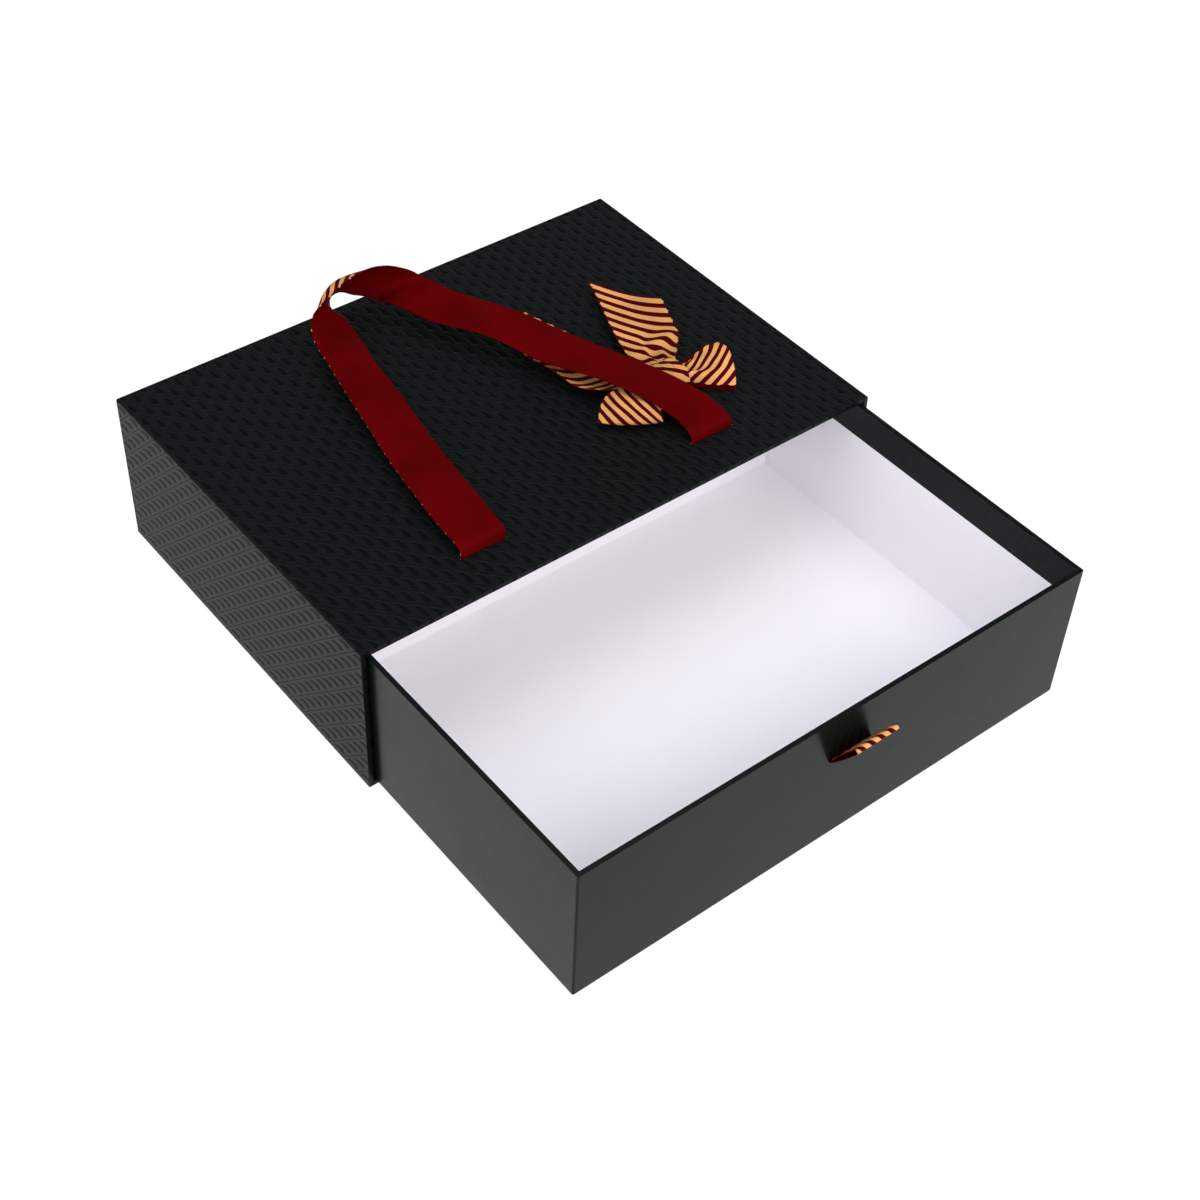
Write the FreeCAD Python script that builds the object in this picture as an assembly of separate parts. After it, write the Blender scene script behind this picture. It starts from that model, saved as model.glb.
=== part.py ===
"""Sliding drawer gift box: a ribbon-handled sleeve of papered greyboard with a pull-out tray.

Millimetres, +Z up. The origin is the centre of the sleeve's base. The sleeve's mouth and the
tray's front face -Y. The tray is modelled pulled out by tray_pull.
"""
import FreeCAD, Part
import math
import os

V = FreeCAD.Vector

# --- Driving sizes ---------------------------------------------------------------------------

sleeve_width = 300.0
sleeve_depth = 214.0
sleeve_height = 87.0

board = 2.0              # greyboard of every wall
wrap = 0.25              # black cover paper
lining = 0.2             # paper lining of both insides
tape = 0.1               # gummed tape that joins the boards at their corners
edge_radius = 1.0        # outside of a papered edge

side_clearance = 1.0     # tray to sleeve, each side
under_clearance = 0.3    # tray to the sleeve's floor
top_clearance = 1.2      # tray to the sleeve's ceiling
end_clearance = 3.0      # closed tray to the sleeve's back wall
tray_pull = 147.0        # how far the tray stands out

sleeve_turn_in = 15.0    # cover paper folded into the sleeve's mouth
tray_turn_in = 18.0      # cover paper folded down inside the tray's rim
sleeve_tape_leg = 12.0
tray_tape_leg = 20.0

ribbon = 0.5             # grosgrain thickness
ribbon_width = 25.0
slit_play = 0.5          # slit beyond the ribbon, on every side of it
handle_slit_setback = 23.5
handle_slit_inset = 82.0 # slit's centre from the sleeve's side
handle_flap = 20.0       # ribbon end glued flat inside
patch_paper = 0.2
patch_margin = 6.0       # patch beyond the flap that it holds
handle_gap = 0.2         # free ribbon above the sleeve's cover

pull_height = 54.0       # slit above the tray's underside
pull_offset = 4.0        # pull's centre to the right of the tray's middle
pull_reach = 23.0        # loop from the tray's face to the centre of its end
pull_rise = 50.0         # degrees above level
pull_end_radius = 3.0
pull_flap = 18.0

bow_ribbon_width = 32.0
bow_outward = 11.0       # knot from the right slit's centre, towards the side
bow_behind = 43.5        # and towards the back
pad_radius = 5.0
pad_height = 1.0
knot_length = 12.0
knot_width = 18.0
knot_height = 6.5
knot_radius = 2.2
knot_turn = -3.0         # degrees, the knot's axis in plan
tail_crossing = 0.1      # air between the two tails where they cross

# The ribbon's stations further down are drawn for these sizes, and follow them as they change.
drawn_handle_x = 68.0
drawn_depth = 214.0
drawn_ribbon = 25.0
drawn_bow_ribbon = 32.0

# --- Faces that several pieces share -----------------------------------------------------------

half_width = sleeve_width / 2
mouth_y = -sleeve_depth / 2
back_y = sleeve_depth / 2

board_x = half_width - wrap                 # outside of the sleeve's boards
board_front = mouth_y + wrap
board_back = back_y - wrap
board_low = wrap
board_high = sleeve_height - wrap

room_x = board_x - board                    # inside of the sleeve's boards
room_back = board_back - board
room_low = board_low + board
room_high = board_high - board
turn_in_y = mouth_y + sleeve_turn_in

tray_x = room_x - wrap - side_clearance
tray_low = room_low + wrap + under_clearance
tray_high = room_high - wrap - top_clearance
tray_depth = (room_back - lining) - mouth_y - end_clearance
tray_front = mouth_y - tray_pull
tray_back = tray_front + tray_depth

tray_board_x = tray_x - wrap
tray_board_low = tray_low + wrap
tray_board_high = tray_high - wrap
tray_board_front = tray_front + wrap
tray_board_back = tray_back - wrap

hold_x = tray_board_x - board               # inside of the tray's boards
hold_front = tray_board_front + board
hold_back = tray_board_back - board
hold_low = tray_board_low + board
hold_turn_in = tray_high - tray_turn_in

slit_y = mouth_y + handle_slit_setback
slit_length = ribbon_width + 2 * slit_play
slit_gap = ribbon + 2 * slit_play
handle_x = half_width - handle_slit_inset

pull_z = tray_low + pull_height
pull_stem = 2 * ribbon                      # both layers of the loop, in the slit

bow_x = handle_x + bow_outward
bow_y = slit_y + bow_behind
bow_scale = bow_ribbon_width / drawn_bow_ribbon
knot_low = pad_height + 2 * ribbon + tail_crossing


def box(low_x, high_x, low_y, high_y, low_z, high_z):
    """A box between two corners."""
    corner = V(low_x, low_y, low_z)
    return Part.makeBox(high_x - low_x, high_y - low_y, high_z - low_z, corner)


def ring(outer, inner):
    """What is left of one solid around another."""
    return outer.cut(inner).removeSplitter()


def rounded(solid, radius, wanted):
    """Round the edges whose midpoint the test accepts."""
    edges = [edge for edge in solid.Edges if wanted(edge.CenterOfMass)]
    return solid.makeFillet(radius, edges)


def near(value, target):
    return abs(value - target) < 1e-6


# --- Sleeve --------------------------------------------------------------------------------------

def sleeve_block(inset):
    """The closed sleeve's outside, set in all round: its top and back edges are rounded."""
    side, back, top = half_width - inset, back_y - inset, sleeve_height - inset
    block = box(-side, side, mouth_y + inset, back, board_low, top)

    def wanted(middle):
        on_side = near(abs(middle.x), side)
        on_back = near(middle.y, back)
        on_top = near(middle.z, top)
        return on_side + on_back + on_top == 2

    return rounded(block, edge_radius - inset, wanted)


def handle_slits():
    """The two slits for the handle's ends, cut down through the top."""
    half, gap = slit_length / 2, slit_gap / 2
    cuts = [box(side * handle_x - half, side * handle_x + half, slit_y - gap, slit_y + gap,
                room_high, sleeve_height) for side in (-1, 1)]
    return Part.makeCompound(cuts)


def sleeve_boards():
    """Five greyboards: top and bottom run over the sides, and the back sits inside them."""
    core = sleeve_block(wrap)
    return {
        "sleeve_top_board": box(-board_x, board_x, board_front, board_back,
                                room_high, board_high).common(core).cut(handle_slits()),
        "sleeve_bottom_board": box(-board_x, board_x, board_front, board_back,
                                   board_low, room_low).common(core),
        "sleeve_left_board": box(-board_x, -room_x, board_front, board_back,
                                 room_low, room_high).common(core),
        "sleeve_right_board": box(room_x, board_x, board_front, board_back,
                                  room_low, room_high).common(core),
        "sleeve_back_board": box(-room_x, room_x, room_back, board_back, room_low, room_high),
    }


def sleeve_paper():
    """Cover paper round the outside and folded into the mouth."""
    skin = ring(sleeve_block(0), sleeve_block(wrap))
    fold = ring(box(-room_x, room_x, mouth_y, turn_in_y, room_low, room_high),
                box(-room_x + wrap, room_x - wrap, mouth_y, turn_in_y,
                    room_low + wrap, room_high - wrap))
    mouth = box(-room_x + wrap, room_x - wrap, mouth_y, board_front,
                room_low + wrap, room_high - wrap)
    return skin.cut(mouth).cut(handle_slits()).fuse(fold).removeSplitter()


def sleeve_tapes():
    """Tape along the four long inside corners, each leg flat on one board."""
    room = box(-room_x, room_x, turn_in_y, room_back, room_low, room_high)
    clear = box(-room_x + tape, room_x - tape, turn_in_y, room_back,
                room_low + tape, room_high - tape)
    ring_of_tape = ring(room, clear)
    tapes = []
    for side in (-1, 1):
        for low in (room_low, room_high - sleeve_tape_leg):
            inner = side * (room_x - sleeve_tape_leg)
            outer = side * room_x
            corner = box(min(inner, outer), max(inner, outer), turn_in_y, room_back,
                         low, low + sleeve_tape_leg)
            tapes.append(ring_of_tape.common(corner))
    return Part.makeCompound(tapes)


def sleeve_lining_sheet(tapes):
    """Paper on every inside face, from the folded cover paper to the back."""
    room = box(-room_x, room_x, turn_in_y, room_back, room_low, room_high)
    clear = box(-room_x + lining, room_x - lining, turn_in_y, room_back - lining,
                room_low + lining, room_high - lining)
    windows = []
    for side in (-1, 1):
        middle = side * handle_x
        half = ribbon_width / 2 + slit_play
        windows.append(box(middle - half, middle + half, slit_y - ribbon - slit_play,
                           slit_y + handle_flap + slit_play, room_high - lining, room_high))
    return ring(room, clear).cut(Part.makeCompound(windows)).cut(tapes)


def handle_end(side):
    """A ribbon end: down through its slit, then flat under the top board towards the back."""
    low_x = side * handle_x - ribbon_width / 2
    high_x = low_x + ribbon_width
    front = slit_y - ribbon / 2
    stem = box(low_x, high_x, front, front + ribbon, room_high - ribbon, sleeve_height)
    flap = box(low_x, high_x, front, slit_y + handle_flap, room_high - ribbon, room_high)
    return stem.fuse(flap).removeSplitter()


def handle_patch(side):
    """The paper patch that holds a ribbon end against the board."""
    half = ribbon_width / 2 + patch_margin
    middle = side * handle_x
    high = room_high - ribbon
    return box(middle - half, middle + half, slit_y - patch_margin,
               slit_y + handle_flap + patch_margin, high - patch_paper, high)


# --- Ribbons --------------------------------------------------------------------------------------

def strip(edges, thickness):
    """A ribbon solid through pairs of edge points, with its thickness square to its face."""
    middles = [(left + right) * 0.5 for left, right in edges]
    sections = []
    for index, (left, right) in enumerate(edges):
        before = middles[max(index - 1, 0)]
        after = middles[min(index + 1, len(edges) - 1)]
        normal = (right - left).cross(after - before)
        normal.normalize()
        half = normal * (thickness / 2)
        corners = [left - half, right - half, right + half, left + half]
        sections.append(Part.makePolygon(corners + corners[:1]))
    return Part.makeLoft(sections, True, True)


def folded_strip(edges, thickness, parts=3):
    """As strip, in flat facets: each stretch between two edge pairs is cut into equal parts."""
    fine = []
    for (left, right), (next_left, next_right) in zip(edges, edges[1:]):
        bends = (next_right - next_left).cross(right - left).Length > 0.01
        count = parts if bends else 1
        fine += [(left + (next_left - left) * (k / count), right + (next_right - right) * (k / count))
                 for k in range(count)]
    fine.append(edges[-1])
    middles = [(left + right) * 0.5 for left, right in fine]
    sections = []
    for index, (left, right) in enumerate(fine):
        before = middles[max(index - 1, 0)]
        after = middles[min(index + 1, len(fine) - 1)]
        normal = (right - left).cross(after - before)
        normal.normalize()
        half = normal * (thickness / 2)
        sections.append([left - half, right - half, right + half, left + half])
    faces = [Part.Face(Part.makePolygon(end + end[:1])) for end in (sections[0], sections[-1])]
    for near_end, far_end in zip(sections, sections[1:]):
        for k in range(4):
            a, b = near_end[k], near_end[(k + 1) % 4]
            c, d = far_end[(k + 1) % 4], far_end[k]
            if k == 0:
                halves = ((a, b, d), (b, c, d))
            else:
                halves = ((a, b, c), (a, c, d))
            faces += [Part.Face(Part.makePolygon([*half, half[0]])) for half in halves]
    shell = Part.Shell(faces)
    shell.sewShape()
    solid = Part.Solid(shell)
    if solid.Volume < 0:
        solid.reverse()
    return solid.removeSplitter()


def banked_edges(stations, width):
    """Edge points from a centre line of (x, y, lift, bank): bank raises the outer, left edge."""
    points = [V(x, y, sleeve_height + lift) for x, y, lift, bank in stations]
    edges = []
    for index, station in enumerate(stations):
        before = points[max(index - 1, 0)]
        after = points[min(index + 1, len(points) - 1)]
        ahead = after - before
        ahead.z = 0
        ahead.normalize()
        bank = math.radians(station[3])
        across = V(-ahead.y, ahead.x, 0) * math.cos(bank) + V(0, 0, 1) * math.sin(bank)
        reach = across * (width / 2)
        edges.append((points[index] + reach, points[index] - reach))
    return edges


def handle_edges():
    """The handle's edge points: up out of the left slit, back, round on edge, and home.

    The legs run by their centre line, and the turn by its outer and inner edge. The offsets are
    from a slit: the left one for the left leg and the turn, the right one for the right leg.
    """
    left = [
        (0, 7, 4.5, 0),
        (0.3, 15, 7, -4),
        (1.5, 30, 8.5, -2),
        (6.5, 61, 6.7, 0),
        (12.3, 92, 7, 5),
        (18, 123, 7.2, 10),
        (22, 143, 7, 15),
    ]
    turn = [
        ((13, 157, 10), (36.5, 150, 3.5)),
        ((15.5, 165, 12), (38, 159, 3)),
        ((19, 170.5, 17), (39.5, 166, 2.5)),
        ((25, 172, 22), (41, 174, 3)),
        ((32, 172, 26), (41, 181, 5)),
        ((39.5, 172, 28.5), (40.5, 187, 8.5)),
        ((47.5, 173, 29.5), (45.5, 188.5, 10)),
        ((56, 173.5, 29), (52, 185, 7.5)),
        ((64.5, 172.5, 27.5), (59, 182, 5)),
        ((72.5, 171.5, 24.5), (62, 178.5, 4)),
        ((80, 171, 20), (60.5, 174, 7)),
        ((84, 169, 16), (59.5, 168, 11)),
        ((86.5, 162, 15.5), (62, 158, 12.5)),
    ]
    right = [
        (-57, 147, 13, 5),
        (-42, 116, 14.4, 1),
        (-28.6, 85.5, 11.2, 3),
        (-15.2, 54.5, 11.6, -5),
        (-9.2, 39.5, 11, -4),
        (-3.5, 23.5, 9.2, -3),
        (0, 7, 5, 0),
    ]
    across, back = handle_x / drawn_handle_x, sleeve_depth / drawn_depth
    up = ribbon_width / drawn_ribbon
    foot = slit_y + ribbon / 2 + 0.05

    def leg(rows, slit_x):
        return [(slit_x + x * across, slit_y + y * back, lift * up, bank)
                for x, y, lift, bank in rows]

    def edge(x, y, lift):
        return V(-handle_x + x * across, slit_y + y * back, sleeve_height + lift * up)

    start = [(-handle_x, foot, handle_gap, 0)] + leg(left, -handle_x)
    end = leg(right, handle_x) + [(handle_x, foot, handle_gap, 0)]
    return (banked_edges(start, ribbon_width) + [(edge(*outer), edge(*inner)) for outer, inner in turn]
            + banked_edges(end, ribbon_width))


def across_at(x, y, lift, heading, width, skew=0.0, lean=0.0):
    """Edge points of a strip round the knot: heading in degrees.

    Skew puts the left edge ahead of the right one, and lean puts it above.
    """
    turn = math.radians(heading)
    ahead = V(math.cos(turn), math.sin(turn), 0)
    left = V(-ahead.y, ahead.x, 0)
    centre = V(bow_x + x, bow_y + y, sleeve_height + lift)
    reach = left * (width / 2) + ahead * (skew / 2) + V(0, 0, lean / 2)
    return centre + reach, centre - reach


def loop_side(heading, rows, fold):
    """One loop's edge points: out low, round its end and home high.

    Each row, and the fold at the end, is reach from the knot, width as a share of the ribbon,
    the lift of the low and of the high layer, skew and lean.
    """
    turn = math.radians(heading)

    def at(reach, share, lift, skew, lean):
        reach *= bow_scale
        return across_at(reach * math.cos(turn), reach * math.sin(turn), lift * bow_scale,
                         heading, share * bow_ribbon_width, skew * bow_scale, lean * bow_scale)

    reach, share, low, high, skew, lean = fold
    radius = (high - low) / 2
    end = [at(reach - radius + radius * math.cos(math.radians(angle)), share,
              low + radius + radius * math.sin(math.radians(angle)), skew, lean)
           for angle in range(-90, 91, 30)]
    out = [at(reach, share, low, skew, lean) for reach, share, low, high, skew, lean in rows]
    home = [at(reach, share, high, skew, lean)
            for reach, share, low, high, skew, lean in reversed(rows)]
    return out + end + home


def bow_loop_strip():
    """Both loops as one strip, whose two ends meet inside the knot."""
    low = knot_low + ribbon * 1.5
    high = knot_low + knot_height - ribbon * 1.5
    waist = 0.5 * knot_width
    gather = knot_length / 2 + ribbon / 2
    join = 0.04 * knot_length

    def inside(x, lift):
        """Edge points in the knot, at x along its axis."""
        turn = math.radians(knot_turn)
        return across_at(x * math.cos(turn), x * math.sin(turn), lift, 180 + knot_turn, waist)

    left = loop_side(207, [(15, 0.55, 3.0, 7.0, 0, 0), (29, 0.85, 2.2, 7.0, -4, 0)],
                     (44.5, 0.95, 1.6, 6.4, -10, 0))
    right = loop_side(-29, [(13, 0.55, 3.2, 8.0, 0, 0), (21, 0.85, 4.8, 9.8, 0, 5)],
                      (30, 0.98, 6.0, 10.4, 0, 9))
    right = [(near_edge, far_edge) for far_edge, near_edge in reversed(right)]
    edges = [inside(-join, low), inside(-gather, low)]
    edges += left
    edges += [inside(-gather, high), inside(gather, high)]
    edges += right
    edges += [inside(gather, low), inside(join, low)]
    return folded_strip(edges, ribbon)


def bow_tail_strips():
    """The two tails, each cut to a slant: they cross on the glue pad, under the knot."""
    low = pad_height + ribbon / 2
    high = low + ribbon + tail_crossing
    long_tail = [
        (-1, -4, 0, 76, 0.28, 0),
        (3, 10, 0, 75, 0.34, 0),
        (9.5, 29, 2.8, 72, 0.95, 0),
        (16.6, 49.4, 4.0, 70, 1, 0),
        (24.4, 71.5, 5.0, 70, 1, 24.7),
    ]
    short_tail = [
        (3, -2, 0, 158, 0.28, 0),
        (-10, 4, 0, 150, 0.36, 0),
        (-24, 19, 0.8, 125, 0.88, 0),
        (-32, 42, 1.2, 106, 0.92, 0),
        (-39.2, 69.3, 1.5, 102, 0.92, -21),
    ]

    def tail(rows, base):
        """Each row is a place beside the knot, rise, heading, share of the width and skew."""
        edges = [across_at(x * bow_scale, y * bow_scale, base + rise * bow_scale, heading,
                           share * bow_ribbon_width, skew * bow_scale)
                 for x, y, rise, heading, share, skew in rows]
        return folded_strip(edges, ribbon)

    return Part.makeCompound([tail(long_tail, low), tail(short_tail, high)])


def bow_knot_band():
    """The short band that gathers the loops, with rounded corners."""
    low = sleeve_height + knot_low

    def tube(inset):
        half = knot_width / 2 - inset
        solid = box(-knot_length / 2, knot_length / 2, -half, half,
                    low + inset, low + knot_height - inset)
        return rounded(solid, knot_radius - inset,
                       lambda middle: near(middle.x, 0))

    band = ring(tube(0), tube(ribbon))
    band.rotate(V(0, 0, 0), V(0, 0, 1), knot_turn)
    band.translate(V(bow_x, bow_y, 0))
    return band


def glue_pad():
    return Part.makeCylinder(pad_radius, pad_height, V(bow_x, bow_y, sleeve_height))


# --- Tray -------------------------------------------------------------------------------------------

def tray_block(inset):
    """The tray's outside, set in all round, with its upright and bottom edges rounded."""
    side = tray_x - inset
    front, back = tray_front + inset, tray_back - inset
    low = tray_low + inset
    block = box(-side, side, front, back, low, tray_high - inset)

    def wanted(middle):
        on_side = near(abs(middle.x), side)
        on_end = near(middle.y, front) or near(middle.y, back)
        on_low = near(middle.z, low)
        return on_side + on_end + on_low == 2

    return rounded(block, edge_radius - inset, wanted)


def pull_slit():
    half, gap = slit_length / 2, pull_stem / 2 + slit_play
    return box(pull_offset - half, pull_offset + half, tray_front, hold_front,
               pull_z - gap, pull_z + gap)


def tray_boards():
    """Five greyboards: the walls stand on the base, and the sides fit between the ends."""
    core = tray_block(wrap)
    high = tray_board_high
    return {
        "tray_base_board": box(-tray_board_x, tray_board_x, tray_board_front, tray_board_back,
                               tray_board_low, hold_low).common(core),
        "tray_front_board": box(-tray_board_x, tray_board_x, tray_board_front, hold_front,
                                hold_low, high).common(core).cut(pull_slit()),
        "tray_back_board": box(-tray_board_x, tray_board_x, hold_back, tray_board_back,
                               hold_low, high).common(core),
        "tray_left_board": box(-tray_board_x, -hold_x, hold_front, hold_back, hold_low, high),
        "tray_right_board": box(hold_x, tray_board_x, hold_front, hold_back, hold_low, high),
    }


def tray_tapes():
    """A tape round each upright corner, between the boards and the cover paper."""
    skin = ring(tray_block(wrap - tape), tray_block(wrap))
    tapes = []
    for low_x in (-tray_x, tray_x - tray_tape_leg):
        for low_y in (tray_front, tray_back - tray_tape_leg):
            corner = box(low_x, low_x + tray_tape_leg, low_y, low_y + tray_tape_leg,
                         hold_low, tray_board_high)
            tapes.append(skin.common(corner))
    return Part.makeCompound(tapes)


def tray_paper(tapes):
    """Cover paper under and round the tray, over its rim and down inside it."""
    skin = ring(tray_block(0), tray_block(wrap))
    fold = ring(box(-hold_x, hold_x, hold_front, hold_back, hold_turn_in, tray_high),
                box(-hold_x + wrap, hold_x - wrap, hold_front + wrap, hold_back - wrap,
                    hold_turn_in, tray_high))
    mouth = box(-hold_x + wrap, hold_x - wrap, hold_front + wrap, hold_back - wrap,
                tray_board_high, tray_high)
    return skin.cut(mouth).cut(tapes).cut(pull_slit()).fuse(fold).removeSplitter()


def tray_wall_lining():
    """White paper round the walls, below the folded cover paper."""
    room = box(-hold_x, hold_x, hold_front, hold_back, hold_low, hold_turn_in)
    clear = box(-hold_x + lining, hold_x - lining, hold_front + lining, hold_back - lining,
                hold_low, hold_turn_in)
    half = ribbon_width / 2 + slit_play
    stem = pull_stem / 2 + slit_play
    window = box(pull_offset - half, pull_offset + half, hold_front, hold_front + lining,
                 pull_z - pull_flap - slit_play, pull_z + stem)
    return ring(room, clear).cut(window)


def tray_floor_lining():
    return box(-hold_x + lining, hold_x - lining, hold_front + lining, hold_back - lining,
               hold_low, hold_low + lining)


def teardrop(start_half, radius):
    """The loop's outline in the YZ plane: two straight sides that run onto a round end."""
    rise = math.radians(pull_rise)
    ahead = V(0, -math.cos(rise), math.sin(rise))
    side = V(0, math.sin(rise), math.cos(rise))
    root = V(0, tray_front, pull_z)
    centre = root + ahead * pull_reach
    lean = math.asin((radius - start_half) / pull_reach)
    upper = centre + side * (radius * math.cos(lean)) - ahead * (radius * math.sin(lean))
    lower = centre - side * (radius * math.cos(lean)) - ahead * (radius * math.sin(lean))
    upper_root = root + side * start_half
    lower_root = root - side * start_half
    wire = Part.Wire([
        Part.LineSegment(upper_root, upper).toShape(),
        Part.Arc(upper, centre + ahead * radius, lower).toShape(),
        Part.LineSegment(lower, lower_root).toShape(),
        Part.LineSegment(lower_root, upper_root).toShape(),
    ])
    face = Part.Face(wire)
    face.translate(V(pull_offset - ribbon_width / 2, 0, 0))
    return face.extrude(V(ribbon_width, 0, 0))


def pull_loop():
    """The pull: a ribbon doubled through the slit, its ends glued inside the front wall."""
    outer = teardrop(pull_stem / 2, pull_end_radius)
    inner = teardrop(pull_stem / 2 - ribbon + 0.02, pull_end_radius - ribbon)
    low_x, high_x = pull_offset - ribbon_width / 2, pull_offset + ribbon_width / 2
    stem = box(low_x, high_x, tray_front, hold_front + ribbon,
               pull_z - pull_stem / 2, pull_z + pull_stem / 2)
    flap = box(low_x, high_x, hold_front, hold_front + ribbon,
               pull_z - pull_flap, pull_z + pull_stem / 2)
    return outer.cut(inner).fuse([stem, flap]).removeSplitter()


def pull_patch():
    half = ribbon_width / 2 + patch_margin
    front = hold_front + ribbon
    return box(pull_offset - half, pull_offset + half, front, front + patch_paper,
               pull_z - pull_flap - patch_margin, pull_z + pull_stem / 2 + patch_margin / 2)


# --- The whole box ---------------------------------------------------------------------------------

def build():
    pieces = {}
    pieces.update(sleeve_boards())
    pieces["sleeve_wrap"] = sleeve_paper()
    pieces["sleeve_base_sheet"] = box(-half_width, half_width, mouth_y, back_y, 0, board_low)
    pieces["sleeve_corner_tapes"] = sleeve_tapes()
    pieces["sleeve_lining"] = sleeve_lining_sheet(pieces["sleeve_corner_tapes"])
    for name, side in (("left", -1), ("right", 1)):
        pieces["handle_end_" + name] = handle_end(side)
        pieces["handle_patch_" + name] = handle_patch(side)
    pieces["handle_ribbon"] = folded_strip(handle_edges(), ribbon, 2)
    pieces["bow_loops"] = bow_loop_strip()
    pieces["bow_tails"] = bow_tail_strips()
    pieces["bow_knot"] = bow_knot_band()
    pieces["bow_glue_pad"] = glue_pad()
    pieces.update(tray_boards())
    pieces["tray_corner_tapes"] = tray_tapes()
    pieces["tray_wrap"] = tray_paper(pieces["tray_corner_tapes"])
    pieces["tray_wall_lining"] = tray_wall_lining()
    pieces["tray_floor_lining"] = tray_floor_lining()
    pieces["pull_ribbon"] = pull_loop()
    pieces["pull_patch"] = pull_patch()
    return pieces


os.makedirs("parts", exist_ok=True)
for name, shape in build().items():
    shape.exportStep("parts/" + name + ".step")
    print(name, len(shape.Solids), "solid(s)", round(shape.Volume, 1), "mm3", shape.isValid())
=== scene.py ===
"""Looks of the sliding drawer gift box: papers, linings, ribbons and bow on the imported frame.

Metres, +Z up, in the frame's own axes. Tables are in millimetres.
"""
import bpy
import math
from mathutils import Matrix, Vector


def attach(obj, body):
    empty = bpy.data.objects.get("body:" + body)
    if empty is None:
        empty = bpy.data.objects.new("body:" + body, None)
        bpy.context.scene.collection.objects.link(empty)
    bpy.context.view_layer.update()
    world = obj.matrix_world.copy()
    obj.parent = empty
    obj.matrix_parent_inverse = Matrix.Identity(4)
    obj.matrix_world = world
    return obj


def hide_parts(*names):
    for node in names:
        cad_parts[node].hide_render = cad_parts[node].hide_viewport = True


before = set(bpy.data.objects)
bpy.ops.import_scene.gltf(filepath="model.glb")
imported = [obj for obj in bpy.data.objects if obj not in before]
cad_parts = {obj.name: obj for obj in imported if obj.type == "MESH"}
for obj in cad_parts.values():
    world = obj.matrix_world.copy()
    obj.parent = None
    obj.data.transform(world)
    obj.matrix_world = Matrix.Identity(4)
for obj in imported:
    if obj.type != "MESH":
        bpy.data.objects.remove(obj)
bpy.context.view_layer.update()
scene = bpy.context.scene
scene.view_settings.view_transform = "Standard"

MM = 0.001
TOP = 87.0                # height of the sleeve
SIDE = 150.0              # half its width
BACK = 107.0              # half its depth
SLIT_Y = -83.5            # handle's slits
SLIT_X = 68.0             # and their distance from the middle
UNDER_BOARD = TOP - 2.7   # where the handle's ends are glued
HANDLE_WIDTH = 25.0       # handle and pull ribbon
BOW_WIDTH = 32.0          # bow ribbon
GATHER = 1.4              # how far the loops' small pleats draw in its print
CLOTH = 0.42              # ribbon thickness
FINE = 1.5                # longest step along a cloth
KNOT = Vector((79.0, -40.0, TOP))
FRONT_Y = -254.25         # tray's front face
PULL_X = 4.0              # drawer pull: its slit's place
PULL_Z = 56.8
PULL_REACH = 22.5         # how far it stands out
PULL_RISE = 55.5          # and its slope, in degrees


def srgb(code):
    """Linear colour from a six-figure sRGB code."""
    parts = [int(code[i:i + 2], 16) / 255 for i in (0, 2, 4)]
    return [c / 12.92 if c <= 0.04045 else ((c + 0.055) / 1.055) ** 2.4 for c in parts] + [1.0]


def add(tree, kind, inputs=None, **settings):
    """Adds one node with its settings, and links or sets its inputs."""
    node = tree.nodes.new("ShaderNode" + kind)
    for name, value in settings.items():
        setattr(node, name, value)
    for key, value in (inputs or {}).items():
        if isinstance(value, bpy.types.NodeSocket):
            tree.links.new(value, node.inputs[key])
        else:
            node.inputs[key].default_value = value
    return node


def surface(name, shader):
    """A new material whose Principled sockets are set from a table."""
    made = bpy.data.materials.new(name)
    made.use_nodes = True
    principled = made.node_tree.nodes["Principled BSDF"]
    for key, value in shader.items():
        principled.inputs[key].default_value = value
    return made, made.node_tree, principled


# --- Camera, light and floor ---------------------------------------------------------------------

def camera():
    """Three-quarter view from above the front left corner."""
    data = bpy.data.cameras.new("camera")
    data.sensor_width = 36.0
    data.lens = 60.88
    data.clip_end = 20.0
    eye = bpy.data.objects.new("camera", data)
    eye.location = Vector((-458.93, -626.96, 717.11)) * MM
    eye.rotation_euler = [math.radians(a) for a in (45.302, -2.033, -38.317)]
    scene.collection.objects.link(eye)
    scene.camera = eye


def softbox(name, towards, distance, size, power, colour):
    """A square area lamp that faces the box, towards the given direction from it."""
    data = bpy.data.lights.new(name, "AREA")
    data.size = size
    data.energy = power
    data.color = srgb(colour)[:3]
    lamp = bpy.data.objects.new(name, data)
    aim = Vector((0, -0.05, 0.05))
    lamp.location = aim + Vector(towards).normalized() * distance
    lamp.rotation_euler = (lamp.location - aim).to_track_quat("Z", "Y").to_euler()
    scene.collection.objects.link(lamp)


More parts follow.
